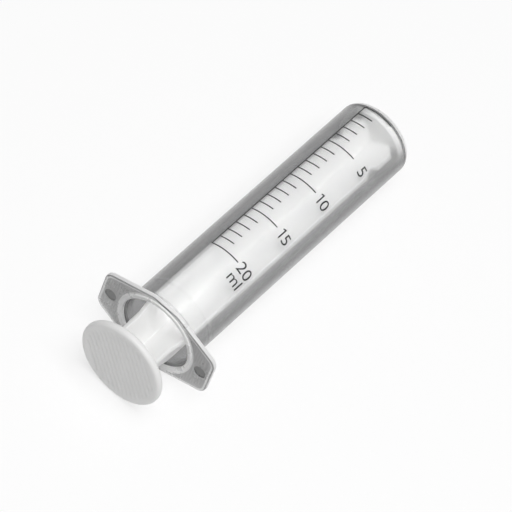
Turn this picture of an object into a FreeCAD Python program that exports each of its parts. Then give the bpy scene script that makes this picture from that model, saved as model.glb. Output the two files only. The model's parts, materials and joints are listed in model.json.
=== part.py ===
import FreeCAD, Part
import math
import os

# Two-piece disposable syringe, 20 ml, in millimetres.
# It is modelled along +Y with the nozzle forward, the scale up (+Z) and the
# finger flange spread along X, and is then laid down as it rests on a table.
# The origin is on the barrel's axis, at the front face of the finger flange.

Vector = FreeCAD.Vector
ORIGIN = Vector(0, 0, 0)
AXIS = Vector(0, 1, 0)
ACROSS = Vector(1, 0, 0)
FULL_TURN = 360.0
QUARTER_TURN = 90.0
CUBIC_MM_PER_ML = 1000.0

# Roundings about the barrel's axis are made of short straight bevels
bevel_length = 0.8

# Capacity and barrel tube
capacity_ml = 20
bore_r = 10.0
barrel_wall = 1.0
barrel_length = 90.0
front_wall = 1.2
front_edge_r = 1.5
bore_corner_r = 0.5
root_fillet_r = 0.5

# Mouth of the barrel and the bead inside it that keeps the plunger in
mouth_widening = 0.85
mouth_land = 0.8
lead_in_length = 2.6
rim_width = 1.15
rim_height = 0.4
rim_edge_r = 0.3
bead_station = 7.5
bead_height = 0.25
bead_width = 2.0
bead_crest = 0.4

# Finger flange
flange_thickness = 1.4
flange_half_length = 18.4
flange_end_half = 6.7
flange_over_rim = 0.6
flange_flat_half = 4.0
flange_corner_r = 2.0
flange_edge_bevel = 0.4
flange_border = 1.1
flange_rib_pitch = 0.74
flange_rib_depth = 0.14
flange_rib_share = 0.8
flange_field_gap = 0.5
ejector_r = 1.8
ejector_depth = 0.25
ejector_land = 0.6

# Slip nozzle with the standard 6 per cent taper, near the edge of the front wall's flat
nozzle_margin = 0.265
nozzle_length = 8.5
nozzle_tip_r = 1.98
nozzle_taper_per_mm = 0.03
nozzle_fillet_r = 0.5
nozzle_edge_r = 0.25
nozzle_bore_r = 1.0

# Plunger: thumb rest, just wider than the flange is high
thumb_over_flange = 0.1
thumb_thickness = 2.2
thumb_edge_r = 0.9
thumb_face_station = -15.3
thumb_rib_pitch = 1.45
thumb_rib_depth = 0.2
thumb_rib_share = 0.8
thumb_border = 1.8

# Plunger: cross-shaped rod, turned about the axis as it was pushed home
rod_turn = -33.3
fin_thickness = 1.3
fin_clearance = 0.25
fin_neck_drop = 1.0
fin_root_r = 1.2
flare_start = -4.8
flare_end = -0.6
flare_blend_r = 3.0
notch_start_back = 13.5
notch_apex_back = 10.3
notch_end_back = 9.1
notch_depth = 1.8
fin_tip_back = 3.5
fin_tip_drop = 2.9
fin_blend_r = 0.35

# Plunger: piston
piston_gap = 0.3
piston_thickness = 1.6
piston_rear_inset = 0.7
piston_front_inset = 0.4
seal_land = 0.3
seal_clearance = 0.05
seal_setback = 0.6
piston_recess = 0.5
piston_recess_border = 1.6

# Printed scale
ink_thickness = 0.04
scale_line_angle = -29.2
long_tick_sweep = 46.4
short_tick_sweep = 24.2
line_width = 0.32
tick_width = 0.35
long_tick_every = 5

# Stations and radii worked out from the sizes above
barrel_r = bore_r + barrel_wall
bead_r = bore_r - bead_height
mouth_r = bore_r + mouth_widening
rim_r = mouth_r + rim_width
rear_face = -flange_thickness
rim_face = rear_face - rim_height
flange_half_height = rim_r + flange_over_rim
ejector_offset = (rim_r + flange_half_length) / 2
bore_end = barrel_length - front_wall
piston_front = bore_end - piston_gap
piston_rear = piston_front - piston_thickness
zero_mark = piston_front - seal_setback
ml_pitch = CUBIC_MM_PER_ML / (math.pi * bore_r ** 2)
seal_r = bore_r - seal_clearance
fin_r = bead_r - fin_clearance
fin_neck_r = fin_r - fin_neck_drop
thumb_r = flange_half_height + thumb_over_flange
thumb_field_r = thumb_r - thumb_border
thumb_front = thumb_face_station + thumb_thickness
nozzle_base_r = nozzle_tip_r + nozzle_length * nozzle_taper_per_mm
nozzle_foot_r = nozzle_base_r + nozzle_fillet_r
nozzle_offset = barrel_r - front_edge_r - nozzle_foot_r - nozzle_margin
cut_margin = 1.0


def corner_arc(before, corner, after, radius):
    """Start, middle and end of the arc that rounds one corner of an outline."""
    back = (before - corner).normalize()
    ahead = (after - corner).normalize()
    half_angle = back.getAngle(ahead) / 2
    setback = radius / math.tan(half_angle)
    middle = (back + ahead).normalize() * (radius / math.sin(half_angle) - radius)
    return corner + back * setback, corner + middle, corner + ahead * setback


def rounded_wire(corners):
    """Closed wire through (point, radius) corners, each rounded by its radius."""
    count = len(corners)
    stretches = []
    for i, (point, radius) in enumerate(corners):
        if radius > 0:
            before = corners[i - 1][0]
            after = corners[(i + 1) % count][0]
            stretches.append(corner_arc(before, point, after, radius))
        else:
            stretches.append((point, None, point))
    edges = []
    for i, (start, middle, end) in enumerate(stretches):
        if middle is not None:
            edges.append(Part.Arc(start, middle, end).toShape())
        following = stretches[(i + 1) % count][0]
        edges.append(Part.LineSegment(end, following).toShape())
    return Part.Wire(edges)


def bevelled_points(corners):
    """Outline through (point, radius) corners, each rounding made of short bevels."""
    points = []
    for i, (point, radius) in enumerate(corners):
        if radius > 0:
            after = corners[(i + 1) % len(corners)][0]
            arc = Part.Arc(*corner_arc(corners[i - 1][0], point, after, radius))
            bevels = math.ceil(arc.length() / bevel_length)
            points += arc.discretize(bevels + 1)
        else:
            points.append(point)
    return points


def turned(profile):
    """Solid of revolution about the barrel's axis from (radius, station, rounding)."""
    points = bevelled_points([(Vector(r, y, 0), rounding) for r, y, rounding in profile])
    face = Part.Face(Part.makePolygon(points + points[:1]))
    return face.revolve(ORIGIN, AXIS, FULL_TURN)


def mirrored_corners(quarter):
    """Four-fold outline in X and Z from the corners of its first quarter."""
    corners = [(Vector(x, 0, z), r) for x, z, r in quarter]
    corners += [(Vector(-x, 0, z), r) for x, z, r in reversed(quarter)]
    corners += [(Vector(-x, 0, -z), r) for x, z, r in quarter]
    corners += [(Vector(x, 0, -z), r) for x, z, r in reversed(quarter)]
    return corners


def flange_face():
    """Outline of the finger flange: long, six-sided, with a flat to lie on."""
    quarter = [
        (flange_half_length, flange_end_half, flange_corner_r),
        (flange_flat_half, flange_half_height, flange_corner_r),
    ]
    face = Part.Face(rounded_wire(mirrored_corners(quarter)))
    face.translate(AXIS * rear_face)
    return face


def flange_plate():
    """Flat plate of the flange with its outer edges bevelled."""
    plate = flange_face().extrude(AXIS * flange_thickness)
    rims = []
    for edge in plate.Edges:
        box = edge.BoundBox
        if box.YLength < flange_thickness / 2:
            rims.append(edge)
    return plate.makeChamfer(flange_edge_bevel, rims)


def rib_grooves(pitch, depth, share, reach, face_station):
    """Row of V-grooves along Z, cut forward from a rear face, spaced along X."""
    grooves = []
    count = math.ceil(reach / pitch)
    half = pitch * share / 2
    for i in range(-count, count):
        x = (i + 0.5) * pitch
        points = [
            Vector(x - half, face_station, -reach),
            Vector(x, face_station + depth, -reach),
            Vector(x + half, face_station, -reach),
        ]
        wire = Part.makePolygon(points + points[:1])
        grooves.append(Part.Face(wire).extrude(Vector(0, 0, 2 * reach)))
    return Part.makeCompound(grooves)


def disc(radius, start, length, x=0.0, z=0.0):
    """Cylinder along the barrel's axis from one station forward."""
    return Part.makeCylinder(radius, length, Vector(x, start, z), AXIS)


def grip_ribs():
    """Fine grooves on both wings, clear of the border, the rim and the ejector marks."""
    start = rear_face - cut_margin
    depth = 2 * cut_margin
    field = flange_face().makeOffset2D(-flange_border)
    field.translate(AXIS * -cut_margin)
    field = field.extrude(AXIS * depth)
    field = field.cut(disc(rim_r + flange_field_gap, start, depth))
    for side in (-1, 1):
        field = field.cut(disc(ejector_r + ejector_land, start, depth, side * ejector_offset))
    grooves = rib_grooves(flange_rib_pitch, flange_rib_depth, flange_rib_share,
                          flange_half_length, rear_face)
    return grooves.common(field)


def barrel_outside():
    """Tube with its rounded root and front edge, closed for now."""
    root_r = barrel_r + 2 * root_fillet_r
    return turned([
        (0, rear_face, 0),
        (root_r, rear_face, 0),
        (root_r, 0, 0),
        (barrel_r, 0, root_fillet_r),
        (barrel_r, barrel_length, front_edge_r),
        (0, barrel_length, 0),
    ])


def mouth_rim():
    """Raised smooth ring round the mouth on the rear of the flange."""
    foot = rear_face + flange_thickness / 2
    return turned([
        (mouth_r, foot, 0),
        (mouth_r, rim_face, rim_edge_r),
        (rim_r, rim_face, rim_edge_r),
        (rim_r, foot, 0),
    ])


def barrel_inside():
    """Space inside the barrel: mouth, lead-in, retaining bead and bore."""
    bead_foot = bead_width / 2
    crest = bead_crest / 2
    return turned([
        (0, rim_face - cut_margin, 0),
        (mouth_r, rim_face - cut_margin, 0),
        (mouth_r, rear_face + mouth_land, 0),
        (bore_r, rear_face + mouth_land + lead_in_length, 0),
        (bore_r, bead_station - bead_foot, 0),
        (bead_r, bead_station - crest, 0),
        (bead_r, bead_station + crest, 0),
        (bore_r, bead_station + bead_foot, 0),
        (bore_r, bore_end, bore_corner_r),
        (0, bore_end, 0),
    ])


def nozzle():
    """Tapered slip nozzle that stands on the front wall, off centre."""
    foot = barrel_length - front_wall / 2
    foot_r = nozzle_foot_r + nozzle_fillet_r
    tip = barrel_length + nozzle_length
    cone = turned([
        (0, foot, 0),
        (foot_r, foot, 0),
        (foot_r, barrel_length, 0),
        (nozzle_base_r, barrel_length, nozzle_fillet_r),
        (nozzle_tip_r, tip, nozzle_edge_r),
        (0, tip, 0),
    ])
    cone.translate(Vector(0, 0, -nozzle_offset))
    return cone


def make_barrel():
    """Barrel moulded in one with its finger flange and its nozzle."""
    body = barrel_outside().fuse([flange_plate(), mouth_rim(), nozzle()]).removeSplitter()
    body = body.cut(barrel_inside())
    passage_length = front_wall + nozzle_length + 2 * cut_margin
    body = body.cut(disc(nozzle_bore_r, bore_end - cut_margin, passage_length, z=-nozzle_offset))
    body = body.cut(grip_ribs())
    for side in (-1, 1):
        mark = disc(ejector_r, rear_face - cut_margin, cut_margin + ejector_depth,
                    side * ejector_offset)
        body = body.cut(mark)
    return body


def thumb_rest():
    """Round thumb rest with a ribbed face inside a smooth rim."""
    pad = turned([
        (0, thumb_face_station, 0),
        (thumb_r, thumb_face_station, thumb_edge_r),
        (thumb_r, thumb_front, thumb_edge_r),
        (0, thumb_front, 0),
    ])
    field = disc(thumb_field_r, thumb_face_station - cut_margin, 2 * cut_margin)
    grooves = rib_grooves(thumb_rib_pitch, thumb_rib_depth, thumb_rib_share,
                          thumb_field_r, thumb_face_station)
    return pad.cut(grooves.common(field))


def blade():
    """One flat blade of the rod, which gives two opposite fins of the cross."""
    notch_start = piston_rear - notch_start_back
    notch_apex = piston_rear - notch_apex_back
    notch_end = piston_rear - notch_end_back
    fin_tip = piston_rear - fin_tip_back
    foot = thumb_front - thumb_thickness / 2
    head = piston_rear + piston_thickness / 2
    side = [
        (fin_neck_r, foot, 0),
        (fin_neck_r, flare_start, flare_blend_r),
        (fin_r, flare_end, flare_blend_r),
        (fin_r, notch_start, 0),
        (fin_r - notch_depth, notch_apex, fin_blend_r),
        (fin_r, notch_end, 0),
        (fin_r, fin_tip, fin_blend_r),
        (fin_r - fin_tip_drop, piston_rear, 0),
        (fin_r - fin_tip_drop, head, 0),
    ]
    corners = [(Vector(r, y, 0), rounding) for r, y, rounding in side]
    corners += [(Vector(-r, y, 0), rounding) for r, y, rounding in reversed(side)]
    face = Part.Face(rounded_wire(corners))
    face.translate(Vector(0, 0, -fin_thickness / 2))
    return face.extrude(Vector(0, 0, fin_thickness))


def rod():
    """Cross-shaped rod: two blades at right angles round a slim core."""
    flat = blade()
    upright = blade()
    upright.rotate(ORIGIN, AXIS, QUARTER_TURN)
    core = disc(fin_root_r, thumb_front, piston_rear - thumb_front)
    return flat.fuse([upright, core])


def piston():
    """Thin piston with a flared sealing lip and a shallow front recess."""
    return turned([
        (0, piston_rear, 0),
        (seal_r - piston_rear_inset, piston_rear, 0),
        (seal_r, zero_mark - seal_land / 2, 0),
        (seal_r, zero_mark + seal_land / 2, 0),
        (seal_r - piston_front_inset, piston_front, 0),
        (seal_r - piston_recess_border, piston_front, 0),
        (seal_r - piston_recess_border - piston_recess, piston_front - piston_recess, 0),
        (0, piston_front - piston_recess, 0),
    ])


def make_plunger():
    """Plunger moulded in one: thumb rest, rod and piston."""
    moulding = thumb_rest().fuse([rod(), piston()])
    moulding.rotate(ORIGIN, AXIS, rod_turn)
    return moulding


def ink_patch(start_station, end_station, start_angle, sweep):
    """Thin patch of ink on the barrel, between two stations and over a sweep in degrees."""
    corners = [
        Vector(0, start_station, barrel_r),
        Vector(0, end_station, barrel_r),
        Vector(0, end_station, barrel_r + ink_thickness),
        Vector(0, start_station, barrel_r + ink_thickness),
    ]
    face = Part.Face(Part.makePolygon(corners + corners[:1]))
    face.rotate(ORIGIN, AXIS, start_angle)
    return face.revolve(ORIGIN, AXIS, sweep)


def make_graduation_print():
    """Printed scale: one long line with a tick for each millilitre."""
    half_line = math.degrees(line_width / 2 / barrel_r)
    half_tick = tick_width / 2
    last_mark = zero_mark - capacity_ml * ml_pitch
    patches = []
    for ml in range(capacity_ml + 1):
        station = zero_mark - ml * ml_pitch
        sweep = long_tick_sweep if ml % long_tick_every == 0 else short_tick_sweep
        patches.append(ink_patch(station - half_tick, station + half_tick,
                                 scale_line_angle, sweep))
    line = ink_patch(last_mark - half_tick, zero_mark + half_tick,
                     scale_line_angle - half_line, 2 * half_line)
    return line.fuse(patches)


def tangent_tilt(rear_station, rear_drop, rear_r, nose_station, nose_drop, nose_r):
    """Angle of the line that touches two round edges from below, in degrees."""
    run = nose_station - rear_station
    rise = rear_drop - nose_drop
    slope = math.atan2(rise, run)
    return math.degrees(slope + math.asin((rear_r - nose_r) / math.hypot(run, rise)))


def resting_tilt():
    """How far the nose dips when the flange's flat, or the thumb rest, is on the table."""
    nose = (barrel_length - front_edge_r, barrel_r - front_edge_r, front_edge_r)
    flange = (-flange_edge_bevel, flange_half_height, 0)
    thumb = (thumb_face_station + thumb_edge_r, thumb_r - thumb_edge_r, thumb_edge_r)
    return max(tangent_tilt(*flange, *nose), tangent_tilt(*thumb, *nose))


def main():
    """Build every node, lay the syringe down and write one STEP file for each."""
    nodes = {
        "barrel": make_barrel(),
        "plunger": make_plunger(),
        "graduation_print": make_graduation_print(),
    }
    tilt = resting_tilt()
    os.makedirs("parts", exist_ok=True)
    for name, shape in nodes.items():
        shape.rotate(ORIGIN, ACROSS, -tilt)
        shape.exportStep("parts/" + name + ".step")


if __name__ == "__main__":
    main()
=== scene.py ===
import json
import math

import bmesh
import bpy
from bpy.props import FloatProperty, FloatVectorProperty, IntProperty, PointerProperty
from mathutils import Matrix, Vector


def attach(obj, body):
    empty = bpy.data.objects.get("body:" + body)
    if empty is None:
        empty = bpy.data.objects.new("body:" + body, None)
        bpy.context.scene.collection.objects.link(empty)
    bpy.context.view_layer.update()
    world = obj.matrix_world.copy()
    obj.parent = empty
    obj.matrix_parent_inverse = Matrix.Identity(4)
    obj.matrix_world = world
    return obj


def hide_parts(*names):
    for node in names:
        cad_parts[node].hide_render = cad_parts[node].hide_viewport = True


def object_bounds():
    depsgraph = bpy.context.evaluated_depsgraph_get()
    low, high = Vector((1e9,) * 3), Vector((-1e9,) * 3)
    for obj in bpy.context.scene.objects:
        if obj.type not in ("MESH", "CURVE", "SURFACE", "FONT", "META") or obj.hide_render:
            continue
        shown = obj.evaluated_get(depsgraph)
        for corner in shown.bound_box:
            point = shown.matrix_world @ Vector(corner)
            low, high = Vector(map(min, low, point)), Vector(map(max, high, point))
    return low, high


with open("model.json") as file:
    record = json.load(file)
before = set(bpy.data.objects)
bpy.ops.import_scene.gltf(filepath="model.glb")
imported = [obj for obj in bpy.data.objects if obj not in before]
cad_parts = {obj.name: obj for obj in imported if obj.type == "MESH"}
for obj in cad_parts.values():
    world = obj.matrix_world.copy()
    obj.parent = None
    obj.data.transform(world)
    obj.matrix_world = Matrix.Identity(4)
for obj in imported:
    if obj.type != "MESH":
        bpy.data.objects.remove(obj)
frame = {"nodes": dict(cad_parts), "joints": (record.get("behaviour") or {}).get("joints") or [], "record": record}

bl_info = {
    "name": "Disposable syringe dressing",
    "version": (1, 0, 0),
    "blender": (4, 5, 0),
    "location": "3D View > Sidebar > Syringe",
    "description": "Models and finishes a 20 ml two-piece syringe round its packed solids",
    "category": "Object",
}

# The syringe is modelled straight along +Y, in metres, and then laid down as its solids lie
MM = 0.001
CAD_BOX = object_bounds()
FORWARD = -Vector(frame["joints"][0]["axis"])
RESTING_TILT = math.atan2(-FORWARD.z, FORWARD.y)
LAID_DOWN = Matrix.Rotation(-RESTING_TILT, 4, "X")
MOUNTS = {mount["name"]: mount for mount in frame["record"]["mounts"]}
TINY = 1e-7


def straight_box(node):
    """Lowest and highest corner of a solid before it was laid down."""
    upright = LAID_DOWN.inverted()
    points = [upright @ v.co for v in frame["nodes"][node].data.vertices]
    low = Vector(min(p[i] for p in points) for i in range(3))
    high = Vector(max(p[i] for p in points) for i in range(3))
    return low, high


BARREL_HIGH = straight_box("barrel")[1]
PLUNGER_LOW, PLUNGER_HIGH = straight_box("plunger")
PRINT_LOW, PRINT_HIGH = straight_box("graduation_print")


def length(name, description, metres):
    """A size that the panel shows in millimetres."""
    return FloatProperty(name=name, description=description, default=metres,
                         min=0.0, precision=4, unit="LENGTH", subtype="DISTANCE")


def share(name, description, default):
    """A value from 0 to 1."""
    return FloatProperty(name=name, description=description, default=default,
                         min=0.0, max=1.0, subtype="FACTOR")


def colour(name, description, default):
    """A plain colour."""
    return FloatVectorProperty(name=name, description=description, default=default,
                               min=0.0, max=1.0, size=3, subtype="COLOR")


class BarrelSizes(bpy.types.PropertyGroup):
    radius: length("Outside radius", "Outside radius of the tube",
                   MOUNTS["barrel"]["dims"]["r_mm"] * MM)
    wall: length("Wall", "Thickness of the tube's wall", 1.0 * MM)
    length: length("Length", "From the flange's front face to the front wall", 90.0 * MM)
    front_wall: length("Front wall", "Thickness of the front wall", 1.2 * MM)
    front_edge: length("Front edge", "Rounding of the front edge", 1.5 * MM)
    root: length("Root", "Rounding where the tube meets the flange", 0.5 * MM)
    mouth_radius: length("Mouth radius", "Inside radius at the mouth", 10.85 * MM)
    rim_width: length("Rim width", "Width of the ring round the mouth", 1.15 * MM)
    rim_height: length("Rim height", "How far the ring stands off the flange", 0.4 * MM)
    bead_station: length("Bead station", "Where the retaining bead is", 7.5 * MM)
    bead_height: length("Bead height", "How far the retaining bead stands in", 0.12 * MM)
    flange_thickness: length("Flange thickness", "Thickness of the finger flange", 1.4 * MM)
    flange_end: length("Flange end", "Half the height of the flange's ends", 6.7 * MM)
    flange_flat: length("Flange flat", "Half the width of the flat it lies on", 4.0 * MM)
    flange_corner: length("Flange corner", "Rounding of the flange's corners", 3.0 * MM)
    rib_pitch: length("Rib pitch", "Spacing of the fine ribs on the flange", 0.74 * MM)
    rib_depth: length("Rib depth", "Depth of the grooves between the ribs", 0.14 * MM)
    field_depth: length("Field depth", "How far the ribbed field is sunk", 0.05 * MM)
    nozzle_offset: length("Nozzle offset", "How far the nozzle is off the axis",
                          -LAID_DOWN.inverted().to_3x3().row[2].dot(
                              Vector(MOUNTS["nozzle"]["pos_m"])))
    nozzle_radius: length("Nozzle radius", "Radius at the nozzle's tip", 1.98 * MM)
    passage_radius: length("Passage radius", "Radius of the nozzle's passage", 1.0 * MM)


class PlungerSizes(bpy.types.PropertyGroup):
    thumb_radius: length("Thumb rest radius", "Radius of the thumb rest", PLUNGER_HIGH.x)
    thumb_thickness: length("Thumb rest thickness", "Thickness of the thumb rest", 2.2 * MM)
    thumb_edge: length("Thumb rest edge", "Rounding of the thumb rest's edge", 0.9 * MM)
    field_radius: length("Ribbed field", "Radius of the ribbed field", 10.9 * MM)
    rib_pitch: length("Rib pitch", "Spacing of the thumb rest's ribs", 1.45 * MM)
    rib_depth: length("Rib depth", "Depth of the grooves between them", 0.3 * MM)
    fin_thickness: length("Fin thickness", "Thickness of the rod's fins", 1.3 * MM)
    fin_radius: length("Fin radius", "From the axis to the fins' edges", 9.5 * MM)
    neck_radius: length("Neck radius", "The same outside the barrel", 8.5 * MM)
    notch_depth: length("Notch depth", "Depth of the notch in each fin", 1.8 * MM)
    root_fillet: length("Root fillet", "Fillet where the fins meet", 0.3 * MM)
    piston_thickness: length("Piston thickness", "Thickness of the piston", 1.6 * MM)
    turn: FloatProperty(name="Turn", description="How far the plunger is turned",
                        default=math.radians(-33.3), subtype="ANGLE", unit="ROTATION")


class PrintSizes(bpy.types.PropertyGroup):
    figure_height: length("Figure height", "Height of the figures", 3.4 * MM)
    tick_width: length("Tick width", "Width of the scale's ticks", 0.35 * MM)
    stroke: length("Stroke", "Width of the figures' strokes", 0.38 * MM)
    ink_thickness: length("Ink thickness", "How far the ink stands off the barrel", 0.04 * MM)
    unit_drop: length("Unit drop", "From the last mark back to the unit", 3.95 * MM)
    right_edge: FloatProperty(name="Right edge", description="Where the figures end",
                              default=math.radians(45.0), subtype="ANGLE", unit="ROTATION")
    capacity: IntProperty(name="Capacity", description="Millilitres at the last mark",
                          default=20, min=5)
    figure_step: IntProperty(name="Figure step", description="Millilitres between figures",
                             default=5, min=1)


class FinishColours(bpy.types.PropertyGroup):
    clear_tint: colour("Clear tint", "Tint of the clear plastic", (0.95, 0.952, 0.955))
    # Painted shade: the clear plastic darkens towards this tint where its round wall is seen at a glancing angle.
    edge_tint: colour("Edge tint", "Tint of the clear plastic seen at a glancing angle",
                      (0.19, 0.19, 0.191))
    # Painted shade: the bore's far wall darkens what is seen through it towards this tint.
    far_tint: colour("Far tint", "Tint of the far wall, seen through the bore",
                     (0.14, 0.14, 0.142))
    # Partly real frost, partly painted shade: the ribbed flange's grey tint stands in for the shade seen through
    # it.
    frosted_tint: colour("Frosted tint", "Tint of the ribbed flange", (0.45, 0.45, 0.45))
    # Painted shade: the sunk ejector marks are darkened by this tint.
    mark_tint: colour("Mark tint", "Tint of the ejector marks", (0.13, 0.13, 0.13))
    # Partly real milky haze, partly painted highlight: this pale tint on a mostly opaque finish lights up the
    # ring, the mouth, the flange outside its ribbed field and the rounded front edge.
    ring_tint: colour("Ring tint", "Tint of the ring round the mouth", (0.88, 0.88, 0.88))
    white: colour("White", "Colour of the white plastic", (0.82, 0.82, 0.815))
    ink: colour("Ink", "Colour of the printed scale", (0.012, 0.012, 0.013))
    clear_roughness: share("Clear roughness", "Roughness of the clear plastic", 0.25)
    frost: share("Frost", "Roughness of the ribbed flange", 0.28)
    white_roughness: share("White roughness", "Roughness of the white plastic", 0.42)


class StageSettings(bpy.types.PropertyGroup):
    floor: colour("Floor", "Colour of the floor", (0.93, 0.93, 0.93))
    white_share: share("White share", "How much of the floor's look is plain white", 0.7)
    azimuth: FloatProperty(name="Azimuth", description="Camera's turn round the syringe",
                           default=math.radians(20.832), subtype="ANGLE", unit="ROTATION")
    elevation: FloatProperty(name="Elevation", description="Camera's height angle",
                             default=math.radians(55.884), subtype="ANGLE", unit="ROTATION")
    roll: FloatProperty(name="Roll", description="Camera's turn about its own line of sight",
                        default=math.radians(23.147), subtype="ANGLE", unit="ROTATION")
    distance: length("Distance", "From the camera to the point it looks at", 985.47 * MM)
    aim: FloatVectorProperty(name="Aim", description="The point the camera looks at", size=3,
                             default=(2.414 * MM, 36.574 * MM, -1.247 * MM),
                             subtype="XYZ", unit="LENGTH")
    lens: FloatProperty(name="Lens", description="Focal length in millimetres of sensor",
                        default=269.01, min=1.0)
    ambient: share("Ambient", "Strength of the light from all round", 0.2)
    lamp_power: FloatProperty(name="Lamp power", description="Power of the soft lamp",
                              default=13.5, min=0.0, unit="POWER")
    lamp_size: length("Lamp size", "Width of the square lamp", 0.8)
    lamp_azimuth: FloatProperty(name="Lamp azimuth", description="Lamp's turn round the syringe",
                                default=math.radians(75.0), subtype="ANGLE", unit="ROTATION")
    lamp_elevation: FloatProperty(name="Lamp elevation", description="Lamp's height angle",
                                  default=math.radians(77.0), subtype="ANGLE",
                                  unit="ROTATION")


# Shape tools

ROUND_STEPS = 144
SMALL_ROUND_STEPS = ROUND_STEPS // 3
ARC_STEPS = 5
EDGE_STEPS = 3
SHARP_ANGLE = math.radians(32)
GROOVE_RUN = 0.8 * MM
LONGEST_RUN_SHARE = 0.4
GROOVE_HALF_SHARE = 0.4


def round_corner(bm, vert, radius, segments=ARC_STEPS):
    """Rounds one corner of a line or of a flat face."""
    ways = [edge.other_vert(vert).co - vert.co for edge in vert.link_edges]
    setback = radius / math.tan(ways[0].angle(ways[1]) / 2)
    bmesh.ops.bevel(bm, geom=[vert], offset=setback, offset_type="OFFSET", segments=segments,
                    profile=0.5, affect="VERTICES", material=-1)


def join(bm, other, offset=(0, 0, 0)):
    """Adds another shape to this one and frees it."""
    bmesh.ops.translate(other, verts=other.verts, vec=offset)
    carrier = bpy.data.meshes.new("carrier")
    other.to_mesh(carrier)
    other.free()
    bm.from_mesh(carrier)
    bpy.data.meshes.remove(carrier)


def turned(corners, steps=ROUND_STEPS):
    """Wall turned about Y from an open line of (radius, station, rounding) corners."""
    bm = bmesh.new()
    verts = [bm.verts.new((r, y, 0)) for r, y, rounding in corners]
    for start, end in zip(verts, verts[1:]):
        bm.edges.new((start, end))
    for vert, (r, y, rounding) in zip(verts, corners):
        if rounding > 0:
            round_corner(bm, vert, rounding)
    bmesh.ops.spin(bm, geom=bm.verts[:] + bm.edges[:], cent=(0, 0, 0), axis=(0, 1, 0),
                   dvec=(0, 0, 0), angle=math.tau, steps=steps, use_merge=True,
                   use_normal_flip=False, use_duplicate=False)
    bmesh.ops.remove_doubles(bm, verts=bm.verts, dist=TINY)
    return bm


def fill_station(bm, station):
    """Closes the flat face, with its holes, that the open edges at one station bound."""
    rim = [e for e in bm.edges
           if e.is_boundary and all(abs(v.co.y - station) < TINY for v in e.verts)]
    bmesh.ops.triangle_fill(bm, use_beauty=True, use_dissolve=False, edges=rim)


def slab(points, thickness, axis, edge=0.0):
    """Plate from a closed outline of (point, rounding), thickened along axis, edges rounded."""
    bm = bmesh.new()
    verts = [bm.verts.new(point) for point, rounding in points]
    bm.faces.new(verts)
    for vert, (point, rounding) in zip(verts, points):
        if rounding > 0:
            round_corner(bm, vert, rounding)
    grown = bmesh.ops.extrude_face_region(bm, geom=bm.faces[:], use_keep_orig=True)
    top = [g for g in grown["geom"] if isinstance(g, bmesh.types.BMVert)]
    bmesh.ops.translate(bm, verts=top, vec=Vector(axis) * thickness)
    bmesh.ops.recalc_face_normals(bm, faces=bm.faces)
    if edge > 0:
        along = Vector(axis).normalized()
        rims = [e for e in bm.edges
                if abs((e.verts[1].co - e.verts[0].co).normalized().dot(along)) < 0.5]
        bmesh.ops.bevel(bm, geom=rims, offset=edge, offset_type="OFFSET",
                        segments=EDGE_STEPS, profile=0.5, affect="EDGES",
                        clamp_overlap=True, material=-1)
    return bm


def grooves(spans, station, pitch, depth):
    """V-shaped cutters along Z, from (x, lowest z, highest z), that fade out at both ends."""
    bm = bmesh.new()
    overshoot = 2 * depth
    half = GROOVE_HALF_SHARE * pitch * (depth + overshoot) / depth
    for x, low, high in spans:
        run = min(GROOVE_RUN, LONGEST_RUN_SHARE * (high - low))
        corners = ((x - half, station - overshoot, low), (x + half, station - overshoot, low),
                   (x, station - TINY, low))
        face = bm.faces.new([bm.verts.new(c) for c in corners])
        for z, bite in ((low + run, depth), (high - run, depth), (high, -TINY)):
            grown = bmesh.ops.extrude_face_region(bm, geom=[face], use_keep_orig=True)
            if z > low + run:
                bm.faces.remove(face)
            face = next(g for g in grown["geom"] if isinstance(g, bmesh.types.BMFace))
            for vert in face.verts:
                vert.co.z = z
            tip = max(face.verts, key=lambda vert: vert.co.y)
            tip.co.y = station + bite
    bmesh.ops.recalc_face_normals(bm, faces=bm.faces)
    return bm


def loose_object(name, bm):
    """Object in the scene from a finished shape."""
    mesh = bpy.data.meshes.new(name)
    bm.to_mesh(mesh)
    bm.free()
    piece = bpy.data.objects.new(name, mesh)
    bpy.context.scene.collection.objects.link(piece)
    return piece


def combine(piece, tool, operation):
    """Cuts another shape from a piece or joins it on. The other shape is used up."""
    modifier = piece.modifiers.new(operation.lower(), "BOOLEAN")
    modifier.operation = operation
    modifier.solver = "EXACT"
    modifier.object = tool
    depsgraph = bpy.context.evaluated_depsgraph_get()
    mesh = bpy.data.meshes.new_from_object(piece.evaluated_get(depsgraph))
    piece.modifiers.clear()
    piece.data = mesh
    bpy.data.objects.remove(tool)


def settle(piece, body, materials):
    """Lays a piece down, smooths it, gives it its finish and lets it ride on its body."""
    piece.data.transform(LAID_DOWN)
    piece.data.shade_smooth()
    piece.data.set_sharp_from_angle(angle=SHARP_ANGLE)
    for material in materials:
        piece.data.materials.append(material)
    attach(piece, body)


# Finishes

def add(tree, kind, **values):
    """Node of one kind with some of its plain inputs or settings set."""
    node = tree.nodes.new(kind)
    for key, value in values.items():
        name = key.replace("_", " ").title()
        if name in node.inputs:
            node.inputs[name].default_value = value
        else:
            setattr(node, key, value)
    return node


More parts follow.
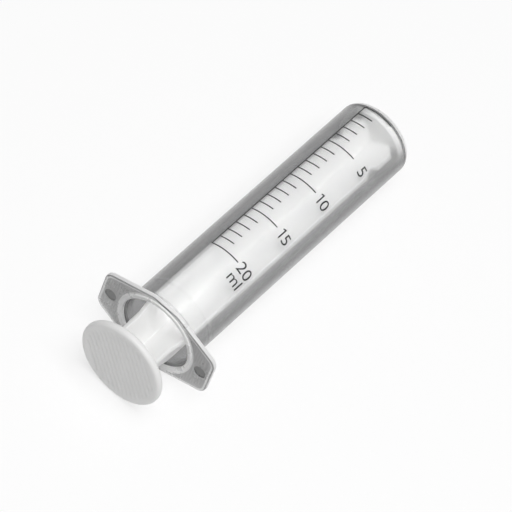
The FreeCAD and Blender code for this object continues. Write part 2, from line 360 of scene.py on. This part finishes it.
def mottle_group():
    """Shared effect: soft uneven mask of a moulded or printed surface."""
    name = "moulding_mottle"
    if name in bpy.data.node_groups:
        return bpy.data.node_groups[name]
    tree = bpy.data.node_groups.new(name, "ShaderNodeTree")
    for socket, default in (("Scale", 300.0), ("Stretch", 1.0), ("Detail", 3.0)):
        made = tree.interface.new_socket(socket, in_out="INPUT", socket_type="NodeSocketFloat")
        made.default_value = default
    tree.interface.new_socket("Mask", in_out="OUTPUT", socket_type="NodeSocketFloat")
    inside = tree.nodes.new("NodeGroupInput")
    outside = tree.nodes.new("NodeGroupOutput")
    place = tree.nodes.new("ShaderNodeTexCoord")
    parts = tree.nodes.new("ShaderNodeSeparateXYZ")
    shrink = add(tree, "ShaderNodeMath", operation="DIVIDE")
    whole = tree.nodes.new("ShaderNodeCombineXYZ")
    noise = tree.nodes.new("ShaderNodeTexNoise")
    link = tree.links.new
    link(place.outputs["Object"], parts.inputs[0])
    link(parts.outputs["Y"], shrink.inputs[0])
    link(inside.outputs["Stretch"], shrink.inputs[1])
    link(parts.outputs["X"], whole.inputs["X"])
    link(shrink.outputs[0], whole.inputs["Y"])
    link(parts.outputs["Z"], whole.inputs["Z"])
    link(whole.outputs[0], noise.inputs["Vector"])
    link(inside.outputs["Scale"], noise.inputs["Scale"])
    link(inside.outputs["Detail"], noise.inputs["Detail"])
    link(noise.outputs["Fac"], outside.inputs["Mask"])
    return tree


def mottle(tree, scale, stretch, detail, low, high):
    """Mask of the shared effect, spread from one value to another."""
    group = tree.nodes.new("ShaderNodeGroup")
    group.node_tree = mottle_group()
    group.inputs["Scale"].default_value = scale
    group.inputs["Stretch"].default_value = stretch
    group.inputs["Detail"].default_value = detail
    spread = tree.nodes.new("ShaderNodeMapRange")
    spread.inputs["From Min"].default_value = 0.3
    spread.inputs["From Max"].default_value = 0.7
    spread.inputs["To Min"].default_value = low
    spread.inputs["To Max"].default_value = high
    tree.links.new(group.outputs["Mask"], spread.inputs["Value"])
    return spread.outputs["Result"]


def new_material(name):
    """Empty node material with its output and a Principled shader."""
    material = bpy.data.materials.new(name)
    material.use_nodes = True
    tree = material.node_tree
    tree.nodes.clear()
    output = tree.nodes.new("ShaderNodeOutputMaterial")
    shader = tree.nodes.new("ShaderNodeBsdfPrincipled")
    tree.links.new(shader.outputs[0], output.inputs["Surface"])
    return material, tree, shader, output


def bumped(tree, shader, height, strength, distance):
    """Fine relief on a shader from a height mask."""
    bump = add(tree, "ShaderNodeBump", strength=strength, distance=distance)
    tree.links.new(height, bump.inputs["Height"])
    tree.links.new(bump.outputs["Normal"], shader.inputs["Normal"])


def calculated(tree, operation, first, second=None):
    """Result of one sum on two sockets or numbers."""
    step = add(tree, "ShaderNodeMath", operation=operation)
    for socket, value in zip(step.inputs, (first, second)):
        if isinstance(value, bpy.types.NodeSocket):
            tree.links.new(value, socket)
        elif value is not None:
            socket.default_value = value
    return step.outputs[0]


def across_barrel(tree):
    """How squarely the round wall is seen, whatever the slant along the barrel."""
    wall = add(tree, "ShaderNodeLayerWeight", blend=0.5)
    lengthwise = add(tree, "ShaderNodeLayerWeight", blend=0.5)
    axis = tree.nodes.new("ShaderNodeCombineXYZ")
    for socket, value in zip(axis.inputs, FORWARD):
        socket.default_value = value
    tree.links.new(axis.outputs[0], lengthwise.inputs["Normal"])
    slant = calculated(tree, "SUBTRACT", 1.0, lengthwise.outputs["Facing"])
    slant = calculated(tree, "MULTIPLY", slant, slant)
    upright = calculated(tree, "SQRT", calculated(tree, "SUBTRACT", 1.0, slant))
    square = calculated(tree, "SUBTRACT", 1.0, wall.outputs["Facing"])
    return calculated(tree, "DIVIDE", square, upright)


def tinted(tree, shader, mask, low, high):
    """Base colour that a mask takes from one tint to another."""
    tone = tree.nodes.new("ShaderNodeMix")
    tone.data_type = "RGBA"
    tone.inputs[6].default_value = (*low, 1)
    tone.inputs[7].default_value = (*high, 1)
    tree.links.new(mask, tone.inputs[0])
    tree.links.new(tone.outputs[2], shader.inputs["Base Color"])


# Share of the lamps' light that a clear wall lets on, and where its painted edge shade sets in and is full
LIT_THROUGH = 0.65
EDGE_SHADE_STARTS = 0.82
EDGE_SHADE_ENDS = 0.45
RELIEF_SIZE = 0.02 * MM
WHITE_UNEVENNESS = 0.97
INK_UNEVENNESS = 2.5


def clear_plastic(name, tint, roughness, relief, clarity, edge_tint=None, far_tint=None):
    """Polypropylene that lets the lamps through to what is inside it.

    An edge tint paints shade where the round wall is seen at a glancing angle. A far tint paints shade too: it
    dims the light that enters the wall at this surface, and not the light that leaves it here.
    """
    material, tree, shader, output = new_material(name)
    shader.inputs["Base Color"].default_value = (*tint, 1)
    shader.inputs["IOR"].default_value = 1.49
    shader.inputs["Transmission Weight"].default_value = clarity
    rough = mottle(tree, 260.0, 6.0, 3.0, roughness * 0.94, roughness * 1.06)
    tree.links.new(rough, shader.inputs["Roughness"])
    bumped(tree, shader, mottle(tree, 900.0, 3.0, 2.0, 0.0, 1.0), relief, RELIEF_SIZE)
    path = tree.nodes.new("ShaderNodeLightPath")
    open_way = tree.nodes.new("ShaderNodeBsdfTransparent")
    open_way.inputs["Color"].default_value = (LIT_THROUGH, LIT_THROUGH, LIT_THROUGH, 1)
    mix = tree.nodes.new("ShaderNodeMixShader")
    tree.links.new(path.outputs["Is Shadow Ray"], mix.inputs[0])
    tree.links.new(shader.outputs[0], mix.inputs[1])
    tree.links.new(open_way.outputs[0], mix.inputs[2])
    tree.links.new(mix.outputs[0], output.inputs["Surface"])
    # Painted shade: the base colour goes from the tint to the edge tint as the round wall is seen more glancingly.
    if edge_tint is not None:
        spread = tree.nodes.new("ShaderNodeMapRange")
        spread.inputs["From Min"].default_value = EDGE_SHADE_STARTS
        spread.inputs["From Max"].default_value = EDGE_SHADE_ENDS
        tree.links.new(across_barrel(tree), spread.inputs["Value"])
        tinted(tree, shader, spread.outputs["Result"], tint, edge_tint)
    # Painted shade: front faces of the bore take the far tint, except for diffuse rays.
    if far_tint is not None:
        side = tree.nodes.new("ShaderNodeNewGeometry")
        far_shade_off = calculated(tree, "MAXIMUM", side.outputs["Backfacing"],
                              path.outputs["Is Diffuse Ray"])
        tinted(tree, shader, far_shade_off, far_tint, tint)
    return material


def white_plastic(colours):
    """Satin white polyethylene with a faint moulded grain."""
    material, tree, shader = new_material("white_polyethylene")[:3]
    dimmer = [c * WHITE_UNEVENNESS for c in colours.white]
    tinted(tree, shader, mottle(tree, 120.0, 2.0, 2.0, 0.0, 1.0), dimmer, colours.white)
    rough = colours.white_roughness
    tree.links.new(mottle(tree, 700.0, 1.0, 3.0, rough * 0.85, rough * 1.15),
                   shader.inputs["Roughness"])
    shader.inputs["IOR"].default_value = 1.5
    shader.inputs["Specular IOR Level"].default_value = 0.25
    shader.inputs["Subsurface Weight"].default_value = 0.15
    shader.inputs["Subsurface Radius"].default_value = (1.0, 1.0, 1.0)
    shader.inputs["Subsurface Scale"].default_value = 1.0 * MM
    bumped(tree, shader, mottle(tree, 2500.0, 1.0, 2.0, 0.0, 1.0), 0.25, RELIEF_SIZE)
    return material


def ink(colours):
    """Black screen ink, a little uneven in gloss and tone."""
    material, tree, shader = new_material("scale_ink")[:3]
    paler = [c * INK_UNEVENNESS for c in colours.ink]
    tinted(tree, shader, mottle(tree, 1500.0, 1.0, 3.0, 0.0, 1.0), colours.ink, paler)
    tree.links.new(mottle(tree, 900.0, 1.0, 2.0, 0.4, 0.6), shader.inputs["Roughness"])
    return material


# The barrel

FLANGE_EDGE = 0.4 * MM
RIM_EDGE = 0.3 * MM
FIELD_BORDER = 0.9 * MM
FIELD_GAP = 0.5 * MM
GROOVE_GAP = 0.25 * MM
EJECTOR_RADIUS = 1.8 * MM
EJECTOR_LAND = 0.6 * MM
EJECTOR_DEPTH = 0.25 * MM
NOZZLE_TAPER = 0.03
NOZZLE_FILLET = 0.5 * MM
NOZZLE_EDGE = 0.25 * MM
PASSAGE_EDGE = 0.15 * MM
MOUTH_LAND = 0.8 * MM
MOUTH_BEND = 0.3 * MM
LEAD_IN_END = 3.4 * MM
LEAD_IN_BEND = 2.0 * MM
BEAD_HALF = 1.0 * MM
BEAD_BEND = 1.2 * MM
STEP_IN = 0.05 * MM
CLEAR, FROSTED_SHADED, SATIN_HIGHLIT, INNER_SHADED, MARK_SHADED = range(5)


def ejector_offset(sizes):
    """Middle of an ejector mark, halfway from the ring to the flange's end."""
    return (sizes.mouth_radius + sizes.rim_width + BARREL_HIGH.x) / 2


def flange_outline(sizes):
    """Corners of one quarter of the flange, at its end and at its flat, as (x, z)."""
    return (BARREL_HIGH.x, sizes.flange_end), (sizes.flange_flat, BARREL_HIGH.z)


def flange_reach(sizes, x):
    """Half height of the flange's outline at one x."""
    (end_x, end_z), (flat_x, flat_z) = flange_outline(sizes)
    if abs(x) <= flat_x:
        return flat_z
    return flat_z + (end_z - flat_z) * (abs(x) - flat_x) / (end_x - flat_x)


def flange_spans(sizes):
    """Where each groove runs on the flange, clear of the border, ring and ejector marks."""
    ring = sizes.mouth_radius + sizes.rim_width + FIELD_GAP + GROOVE_GAP
    border = FIELD_BORDER + GROOVE_GAP
    mark = EJECTOR_RADIUS + EJECTOR_LAND
    (end_x, end_z), (flat_x, flat_z) = flange_outline(sizes)
    slope = math.atan2(flat_z - end_z, end_x - flat_x)
    count = math.floor((end_x - border) / sizes.rib_pitch)
    spans = []
    for i in range(-count, count):
        x = (i + 0.5) * sizes.rib_pitch
        top = flange_reach(sizes, x) - border / math.cos(slope)
        top = min(top, flat_z - border)
        bottom = math.sqrt(max(ring ** 2 - x ** 2, 0.0))
        aside = abs(abs(x) - ejector_offset(sizes))
        if aside < mark:
            bottom = max(bottom, math.sqrt(mark ** 2 - aside ** 2))
        if bottom == 0.0:
            spans.append((x, -top, top))
        elif top > bottom:
            spans += [(x, bottom, top), (x, -top, -bottom)]
    return spans


def mirrored(quarter, station, rounding):
    """Closed outline at one station, from the (x, z) points of one quarter."""
    points = []
    for sx, sz, order in ((1, 1, 1), (-1, 1, -1), (-1, -1, 1), (1, -1, -1)):
        points += [((sx * x, station, sz * z), rounding) for x, z in quarter[::order]]
    return points


def field_shape(sizes):
    """Cutter for the ribbed field, inside the flange's border."""
    (end_x, end_z), (flat_x, flat_z) = flange_outline(sizes)
    slope = math.atan2(flat_z - end_z, end_x - flat_x)
    top = flat_z - FIELD_BORDER
    side = end_x - FIELD_BORDER
    drop = FIELD_BORDER / math.cos(slope)
    quarter = ((side, flange_reach(sizes, side) - drop),
               (flat_x + (drop - FIELD_BORDER) / math.tan(slope), top))
    station = -sizes.flange_thickness - MM
    return slab(mirrored(quarter, station, sizes.flange_corner - FIELD_BORDER),
                MM + sizes.field_depth, (0, 1, 0))


def flange_shape(sizes):
    """Edge of the flange's plate, open at its front and rear faces."""
    points = mirrored(flange_outline(sizes), -sizes.flange_thickness, sizes.flange_corner)
    bm = slab(points, sizes.flange_thickness, (0, 1, 0), FLANGE_EDGE)
    caps = [f for f in bm.faces if abs(f.normal.y) > 0.99]
    bmesh.ops.delete(bm, geom=caps, context="FACES_ONLY")
    return bm


def barrel_shape(sizes):
    """Tube, ring, flange and nozzle as one closed wall, with the flange's ribs still to cut."""
    bore = sizes.radius - sizes.wall
    bore_end = sizes.length - sizes.front_wall
    front_flat = sizes.radius - sizes.front_edge - STEP_IN
    bore_flat = bore - sizes.root - STEP_IN
    rim = sizes.mouth_radius + sizes.rim_width
    rear = -sizes.flange_thickness
    rim_face = rear - sizes.rim_height
    lead_in = rear + LEAD_IN_END
    bead = sizes.bead_station
    bm = turned([
        (front_flat, sizes.length, 0),
        (sizes.radius, sizes.length, sizes.front_edge),
        (sizes.radius, 0, sizes.root),
        (rim, 0, 0),
    ])
    join(bm, turned([
        (rim, rear, 0),
        (rim, rim_face, RIM_EDGE),
        (sizes.mouth_radius, rim_face, RIM_EDGE),
        (sizes.mouth_radius, rear + MOUTH_LAND, MOUTH_BEND),
        (bore, lead_in, LEAD_IN_BEND),
        (bore, bead - BEAD_HALF, BEAD_BEND),
        (bore - sizes.bead_height, bead, BEAD_BEND),
        (bore, bead + BEAD_HALF, BEAD_BEND),
        (bore, bore_end, sizes.root),
        (bore_flat, bore_end, 0),
    ]))
    base = sizes.nozzle_radius + NOZZLE_TAPER * (BARREL_HIGH.y - sizes.length)
    join(bm, turned([
        (base + NOZZLE_FILLET + STEP_IN, sizes.length, 0),
        (base, sizes.length, NOZZLE_FILLET),
        (sizes.nozzle_radius, BARREL_HIGH.y, NOZZLE_EDGE),
        (sizes.passage_radius, BARREL_HIGH.y, PASSAGE_EDGE),
        (sizes.passage_radius, bore_end, 0),
    ], SMALL_ROUND_STEPS), (0, 0, -sizes.nozzle_offset))
    join(bm, flange_shape(sizes))
    for station in (sizes.length, bore_end, 0, rear):
        fill_station(bm, station)
    bmesh.ops.remove_doubles(bm, verts=bm.verts, dist=TINY)
    bmesh.ops.recalc_face_normals(bm, faces=bm.faces)
    return bm


def cut_field(piece, sizes):
    """Sinks the ribbed field round the ring and cuts its grooves."""
    rear = -sizes.flange_thickness
    field = loose_object("field_cutter", field_shape(sizes))
    clear_of_ring = sizes.mouth_radius + sizes.rim_width + FIELD_GAP
    core = turned([(0, rear - 2 * MM, 0), (clear_of_ring, rear - 2 * MM, 0),
                   (clear_of_ring, 0, 0), (0, 0, 0)])
    bmesh.ops.recalc_face_normals(core, faces=core.faces)
    combine(field, loose_object("core", core), "DIFFERENCE")
    combine(piece, field, "DIFFERENCE")
    cutter = grooves(flange_spans(sizes), rear + sizes.field_depth, sizes.rib_pitch,
                     sizes.rib_depth)
    combine(piece, loose_object("rib_cutter", cutter), "DIFFERENCE")


def cut_marks(piece, sizes):
    """Sinks the two round ejector marks."""
    rear = -sizes.flange_thickness
    for side in (-1, 1):
        dent = turned([(0, rear - MM, 0), (EJECTOR_RADIUS, rear - MM, 0),
                       (EJECTOR_RADIUS, rear + EJECTOR_DEPTH, 0),
                       (0, rear + EJECTOR_DEPTH, 0)], SMALL_ROUND_STEPS)
        bmesh.ops.translate(dent, verts=dent.verts, vec=(side * ejector_offset(sizes), 0, 0))
        bmesh.ops.recalc_face_normals(dent, faces=dent.faces)
        combine(piece, loose_object("mark_cutter", dent), "DIFFERENCE")


def barrel_finish(sizes, face, corners):
    """Which of the barrel's finishes a face has, some of them with painted shade or painted highlight."""
    rear = -sizes.flange_thickness
    ring = sizes.mouth_radius + sizes.rim_width + STEP_IN
    centre = face.center
    out = math.hypot(centre.x, centre.z)
    in_bore = out < sizes.mouth_radius + TINY and centre.y > rear + 0.5 * MM
    if in_bore and centre.y < sizes.length - sizes.front_wall + TINY:
        return INNER_SHADED
    # Painted highlight over milky haze: the rounded front edge takes the pale satin finish.
    in_end = centre.y > sizes.length - sizes.front_edge and out < sizes.radius
    if in_end and out > sizes.radius - sizes.front_edge:
        return SATIN_HIGHLIT
    if centre.y > sizes.root:
        return CLEAR
    reach = EJECTOR_RADIUS + TINY
    in_mark = all(math.hypot(abs(c.x) - ejector_offset(sizes), c.z) < reach for c in corners)
    if in_mark and centre.y < rear / 2:
        return MARK_SHADED
    in_field = out > ring and rear + sizes.field_depth / 2 < centre.y
    if in_field and centre.y < rear / 2 and face.normal.y < -0.6:
        return FROSTED_SHADED
    return SATIN_HIGHLIT


class SYRINGE_OT_barrel(bpy.types.Operator):
    """Models the clear barrel with its flange, ring and nozzle"""
    bl_idname = "syringe.barrel"
    bl_label = "Barrel"

    def execute(self, context):
        sizes = context.scene.syringe_barrel
        colours = context.scene.syringe_finish
        piece = loose_object("barrel_moulding", barrel_shape(sizes))
        cut_field(piece, sizes)
        cut_marks(piece, sizes)
        for face in piece.data.polygons:
            corners = [piece.data.vertices[i].co for i in face.vertices]
            face.material_index = barrel_finish(sizes, face, corners)
        rough, frost = colours.clear_roughness, colours.frost
        # The clear finish paints shade at glancing angles. The frosted and mark finishes paint shade into their
        # grey. The satin finish paints a highlight over milky haze. The inner finish paints shade on the far wall.
        finishes = [
            clear_plastic("clear_polypropylene_edge_shade", colours.clear_tint, rough, 0.01, 1.0,
                          edge_tint=colours.edge_tint),
            clear_plastic("frosted_polypropylene_painted_shade", colours.frosted_tint, frost, 0.2, 0.8),
            clear_plastic("satin_polypropylene_painted_highlight", colours.ring_tint, frost, 0.1, 0.2),
            clear_plastic("inner_polypropylene_painted_shade", colours.clear_tint, rough, 0.01, 1.0,
                          far_tint=colours.far_tint),
            clear_plastic("mark_polypropylene_painted_shade", colours.mark_tint, frost, 0.1, 0.8),
        ]
        settle(piece, "barrel", finishes)
        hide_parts("barrel")
        return {"FINISHED"}


# The plunger

FLARE_START = -4.8 * MM
FLARE_END = -0.6 * MM
NOTCH_START = 13.5 * MM
NOTCH_APEX = 10.3 * MM
NOTCH_END = 9.1 * MM
FIN_TIP = 3.5 * MM
FIN_DROP = 2.9 * MM
FIN_EDGE = 0.15 * MM
FLARE_BEND = 3.0 * MM
NOTCH_EDGE = 0.2 * MM
FIN_BEND = 0.35 * MM
BLADE_SINK = 0.4 * MM
SEAL_GAP = 0.05 * MM
SEAL_SETBACK = 0.6 * MM
SEAL_HALF = 0.15 * MM
PISTON_REAR_INSET = 0.7 * MM
PISTON_FRONT_INSET = 0.4 * MM
RECESS_BORDER = 1.6 * MM
RECESS_DEPTH = 0.5 * MM
PISTON_EDGE = 0.1 * MM


def blade_shape(sizes, rear, front):
    """One flat blade of the rod: two opposite fins with their flare, notch and tip."""
    fin, neck = sizes.fin_radius, sizes.neck_radius
    side = [
        (neck, rear, 0),
        (neck, FLARE_START, FLARE_BEND),
        (fin, FLARE_END, FLARE_BEND),
        (fin, front - NOTCH_START, NOTCH_EDGE),
        (fin - sizes.notch_depth, front - NOTCH_APEX, FIN_BEND),
        (fin, front - NOTCH_END, NOTCH_EDGE),
        (fin, front - FIN_TIP, FIN_BEND),
        (fin - FIN_DROP, front, 0),
    ]
    half = sizes.fin_thickness / 2
    points = [((r, y, -half), rounding) for r, y, rounding in side]
    points += [((-r, y, -half), rounding) for r, y, rounding in reversed(side)]
    return slab(points, sizes.fin_thickness, (0, 0, 1), FIN_EDGE)


def root_shape(sizes, rear, front):
    """Middle of the rod's cross, with its four inner corners filled by round fillets."""
    half = sizes.fin_thickness / 2 - STEP_IN / 2
    reach = half + sizes.root_fillet + STEP_IN
    corners = []
    for turn in range(4):
        spin = Matrix.Rotation(-turn * math.pi / 2, 3, "Y")
        for x, z, rounding in ((reach, half, 0), (half, half, sizes.root_fillet),
                               (half, reach, 0)):
            corners.append((spin @ Vector((x, rear, z)), rounding))
    return slab(corners, front - rear, (0, 1, 0))


def thumb_shape(sizes, face):
    """Round thumb rest with its grooves still to cut."""
    inner = face + sizes.thumb_thickness
    bm = turned([
        (0, face, 0),
        (sizes.thumb_radius, face, sizes.thumb_edge),
        (sizes.thumb_radius, inner, sizes.thumb_edge),
        (0, inner, 0),
    ])
    bmesh.ops.recalc_face_normals(bm, faces=bm.faces)
    return bm


def thumb_spans(sizes):
    """Where each groove runs on the thumb rest."""
    spans = []
    count = math.ceil(sizes.field_radius / sizes.rib_pitch)
    for i in range(-count, count):
        x = (i + 0.5) * sizes.rib_pitch
        if abs(x) < sizes.field_radius - sizes.rib_pitch / 2:
            reach = math.sqrt(sizes.field_radius ** 2 - x ** 2)
            spans.append((x, -reach, reach))
    return spans


def piston_shape(radius, rear, front):
    """Thin piston with its sealing land and its shallow front recess."""
    land = front - SEAL_SETBACK
    border = radius - RECESS_BORDER
    bm = turned([
        (0, rear, 0),
        (radius - PISTON_REAR_INSET, rear, PISTON_EDGE),
        (radius, land - SEAL_HALF, PISTON_EDGE),
        (radius, land + SEAL_HALF, PISTON_EDGE),
        (radius - PISTON_FRONT_INSET, front, PISTON_EDGE),
        (border, front, PISTON_EDGE),
        (border - RECESS_DEPTH, front - RECESS_DEPTH, PISTON_EDGE),
        (0, front - RECESS_DEPTH, 0),
    ])
    bmesh.ops.recalc_face_normals(bm, faces=bm.faces)
    return bm


class SYRINGE_OT_plunger(bpy.types.Operator):
    """Models the white plunger with its thumb rest, rod and piston"""
    bl_idname = "syringe.plunger"
    bl_label = "Plunger"

    def execute(self, context):
        sizes = context.scene.syringe_plunger
        barrel = context.scene.syringe_barrel
        face, front = PLUNGER_LOW.y, PLUNGER_HIGH.y
        inner = face + sizes.thumb_thickness
        piston_rear = front - sizes.piston_thickness
        piece = loose_object("plunger_moulding", thumb_shape(sizes, face))
        cutter = grooves(thumb_spans(sizes), face, sizes.rib_pitch, sizes.rib_depth)
        combine(piece, loose_object("rib_cutter", cutter), "DIFFERENCE")
        for turn in range(2):
            blade = blade_shape(sizes, inner - BLADE_SINK, piston_rear + BLADE_SINK)
            bmesh.ops.rotate(blade, verts=blade.verts, cent=(0, 0, 0),
                             matrix=Matrix.Rotation(turn * math.pi / 2, 3, "Y"))
            combine(piece, loose_object("blade", blade), "UNION")
        root = root_shape(sizes, inner - BLADE_SINK / 2, piston_rear + BLADE_SINK / 2)
        combine(piece, loose_object("root", root), "UNION")
        piston = piston_shape(barrel.radius - barrel.wall - SEAL_GAP, piston_rear, front)
        combine(piece, loose_object("piston", piston), "UNION")
        piece.data.transform(Matrix.Rotation(sizes.turn, 4, "Y"))
        finish = white_plastic(context.scene.syringe_finish)
        settle(piece, "plunger", [finish])
        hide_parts("plunger")
        return {"FINISHED"}


# The printed scale

FONT_HEIGHT = 0.69
ONE_GAP = 0.24
ONE_FLAG = 0.17
THINNING = 0.004
WRAP_STEP = 0.25 * MM


def figure_one(bm, right, height, stroke):
    """Adds a figure one with a short flag, its stem's right side at a given place."""
    left = right - stroke
    tip = left - ONE_FLAG * height
    outline = [(right, 0), (right, height), (left, height), (tip, height - 0.7 * stroke),
               (tip, height - 1.7 * stroke), (left, height - stroke), (left, 0)]
    bm.faces.new([bm.verts.new((x, y, 0)) for x, y in outline])


def figure(name, text, station, sizes, radius, material):
    """Raised figure wrapped on the barrel, centred on a station, its end at the right edge."""
    height = sizes.figure_height
    curve = bpy.data.curves.new(name, "FONT")
    curve.body = text.lstrip("1")
    curve.size = height / FONT_HEIGHT
    curve.align_x = "RIGHT"
    curve.offset = -THINNING * height
    words = bpy.data.objects.new(name, curve)
    bpy.context.scene.collection.objects.link(words)
    depsgraph = bpy.context.evaluated_depsgraph_get()
    mesh = bpy.data.meshes.new_from_object(words.evaluated_get(depsgraph))
    bpy.data.objects.remove(words)
    bm = bmesh.new()
    bm.from_mesh(mesh)
    bmesh.ops.remove_doubles(bm, verts=bm.verts, dist=TINY)
    low = min(v.co.x for v in bm.verts)
    if text.startswith("1"):
        figure_one(bm, low - ONE_GAP * height, height, sizes.stroke)
        low = min(v.co.x for v in bm.verts)
    for i in range(1, math.ceil(-low / WRAP_STEP)):
        bmesh.ops.bisect_plane(bm, geom=bm.verts[:] + bm.edges[:] + bm.faces[:], dist=TINY,
                               plane_co=(-i * WRAP_STEP, 0, 0), plane_no=(1, 0, 0))
    grown = bmesh.ops.extrude_face_region(bm, geom=bm.faces[:], use_keep_orig=True)
    top = {g for g in grown["geom"] if isinstance(g, bmesh.types.BMVert)}
    for vert in bm.verts:
        angle = sizes.right_edge + vert.co.x / radius
        out = radius + (sizes.ink_thickness if vert in top else 0.0)
        along = station + vert.co.y - height / 2
        vert.co = (out * math.sin(angle), along, out * math.cos(angle))
    bmesh.ops.recalc_face_normals(bm, faces=bm.faces)
    piece = loose_object(name, bm)
    settle(piece, "barrel", [material])


class SYRINGE_OT_scale_print(bpy.types.Operator):
    """Inks the printed scale and adds its figures"""
    bl_idname = "syringe.scale_print"
    bl_label = "Scale print"

    def execute(self, context):
        sizes = context.scene.syringe_print
        radius = context.scene.syringe_barrel.radius
        material = ink(context.scene.syringe_finish)
        lines = frame["nodes"]["graduation_print"]
        lines.data.materials.clear()
        lines.data.materials.append(material)
        last_mark = PRINT_LOW.y + sizes.tick_width / 2
        pitch = (PRINT_HIGH.y - PRINT_LOW.y - sizes.tick_width) / sizes.capacity
        for ml in range(sizes.figure_step, sizes.capacity + 1, sizes.figure_step):
            station = last_mark + (sizes.capacity - ml) * pitch
            figure("figure_%02d" % ml, str(ml), station, sizes, radius, material)
        figure("unit_ml", "ml", last_mark - sizes.unit_drop, sizes, radius, material)
        return {"FINISHED"}


# The stage

LAMP_DISTANCE = 1.2
FLOOR_RADIUS = 4.0


class SYRINGE_OT_stage(bpy.types.Operator):
    """Sets the pale floor, the soft light and the camera"""
    bl_idname = "syringe.stage"
    bl_label = "Stage"

    def execute(self, context):
        stage = context.scene.syringe_stage
        self.floor(stage)
        self.world(context.scene, stage)
        flat = math.cos(stage.lamp_elevation)
        place = Vector((math.sin(stage.lamp_azimuth) * flat,
                        -math.cos(stage.lamp_azimuth) * flat,
                        math.sin(stage.lamp_elevation))) * LAMP_DISTANCE
        self.lamp("key_lamp", place, stage.lamp_size, stage.lamp_power)
        self.camera(context.scene, stage)
        context.scene.view_settings.view_transform = "Standard"
        return {"FINISHED"}

    def floor(self, stage):
        """Round plain floor that the syringe lies on."""
        bm = bmesh.new()
        bmesh.ops.create_circle(bm, cap_ends=True, radius=FLOOR_RADIUS, segments=64)
        floor = loose_object("floor", bm)
        floor.data.transform(Matrix.Translation((0, 0, CAD_BOX[0].z)))
        material, tree, shader, output = new_material("floor")
        shader.inputs["Base Color"].default_value = (*stage.floor, 1)
        shader.inputs["Roughness"].default_value = 0.9
        shader.inputs["Specular IOR Level"].default_value = 0.1
        seen = tree.nodes.new("ShaderNodeEmission")
        path = tree.nodes.new("ShaderNodeLightPath")
        amount = 0.0
        for kind in ("Is Camera Ray", "Is Glossy Ray", "Is Transmission Ray"):
            amount = calculated(tree, "MAXIMUM", amount, path.outputs[kind])
        mix = tree.nodes.new("ShaderNodeMixShader")
        tree.links.new(calculated(tree, "MULTIPLY", amount, stage.white_share), mix.inputs[0])
        tree.links.new(shader.outputs[0], mix.inputs[1])
        tree.links.new(seen.outputs[0], mix.inputs[2])
        tree.links.new(mix.outputs[0], output.inputs["Surface"])
        floor.data.materials.append(material)

    def world(self, scene, stage):
        """Even light from all round."""
        world = bpy.data.worlds.new("studio")
        world.use_nodes = True
        tree = world.node_tree
        tree.nodes.clear()
        output = tree.nodes.new("ShaderNodeOutputWorld")
        glow = tree.nodes.new("ShaderNodeBackground")
        glow.inputs["Color"].default_value = (1, 1, 1, 1)
        glow.inputs["Strength"].default_value = stage.ambient
        tree.links.new(glow.outputs[0], output.inputs["Surface"])
        scene.world = world

    def lamp(self, name, place, size, power):
        """Square soft lamp that points at the syringe."""
        light = bpy.data.lights.new(name, "AREA")
        light.size = size
        light.energy = power
        lamp = bpy.data.objects.new(name, light)
        lamp.location = place
        lamp.rotation_mode = "QUATERNION"
        lamp.rotation_quaternion = place.to_track_quat("Z", "Y")
        bpy.context.scene.collection.objects.link(lamp)

    def camera(self, scene, stage):
        """Camera at the photographed angle, rolled as the photograph is."""
        data = bpy.data.cameras.new("camera")
        data.lens = stage.lens
        data.clip_start = 0.05
        data.clip_end = 20.0
        camera = bpy.data.objects.new("camera", data)
        flat = math.cos(stage.elevation)
        back = Vector((math.sin(stage.azimuth) * flat, -math.cos(stage.azimuth) * flat,
                       math.sin(stage.elevation)))
        camera.location = Vector(stage.aim) + back * stage.distance
        camera.rotation_mode = "QUATERNION"
        level = back.to_track_quat("Z", "Y")
        camera.rotation_quaternion = level @ Matrix.Rotation(stage.roll, 3, "Z").to_quaternion()
        scene.collection.objects.link(camera)
        scene.camera = camera


class SYRINGE_PT_panel(bpy.types.Panel):
    """Buttons and sizes of the syringe"""
    bl_idname = "SYRINGE_PT_panel"
    bl_label = "Syringe"
    bl_space_type = "VIEW_3D"
    bl_region_type = "UI"
    bl_category = "Syringe"

    def draw(self, context):
        column = self.layout.column()
        for operator, group in STEPS:
            column.operator(operator.bl_idname)
            settings = getattr(context.scene, group)
            for name in settings.bl_rna.properties.keys():
                if name not in ("rna_type", "name"):
                    column.prop(settings, name)


GROUPS = {
    "syringe_barrel": BarrelSizes,
    "syringe_plunger": PlungerSizes,
    "syringe_print": PrintSizes,
    "syringe_finish": FinishColours,
    "syringe_stage": StageSettings,
}
STEPS = (
    (SYRINGE_OT_barrel, "syringe_barrel"),
    (SYRINGE_OT_plunger, "syringe_plunger"),
    (SYRINGE_OT_scale_print, "syringe_print"),
    (SYRINGE_OT_stage, "syringe_stage"),
)


def register():
    """Adds the settings, the steps and the panel to Blender."""
    for name, group in GROUPS.items():
        bpy.utils.register_class(group)
        setattr(bpy.types.Scene, name, PointerProperty(type=group))
    for operator, group in STEPS:
        bpy.utils.register_class(operator)
    bpy.utils.register_class(SYRINGE_PT_panel)


def unregister():
    """Takes them out again."""
    bpy.utils.unregister_class(SYRINGE_PT_panel)
    for operator, group in reversed(STEPS):
        bpy.utils.unregister_class(operator)
    for name, group in reversed(GROUPS.items()):
        delattr(bpy.types.Scene, name)
        bpy.utils.unregister_class(group)


def main():
    """Builds the syringe and its stage."""
    register()
    bpy.ops.syringe.barrel()
    bpy.ops.syringe.plunger()
    bpy.ops.syringe.scale_print()
    bpy.ops.syringe.stage()


if __name__ == "__main__":
    main()
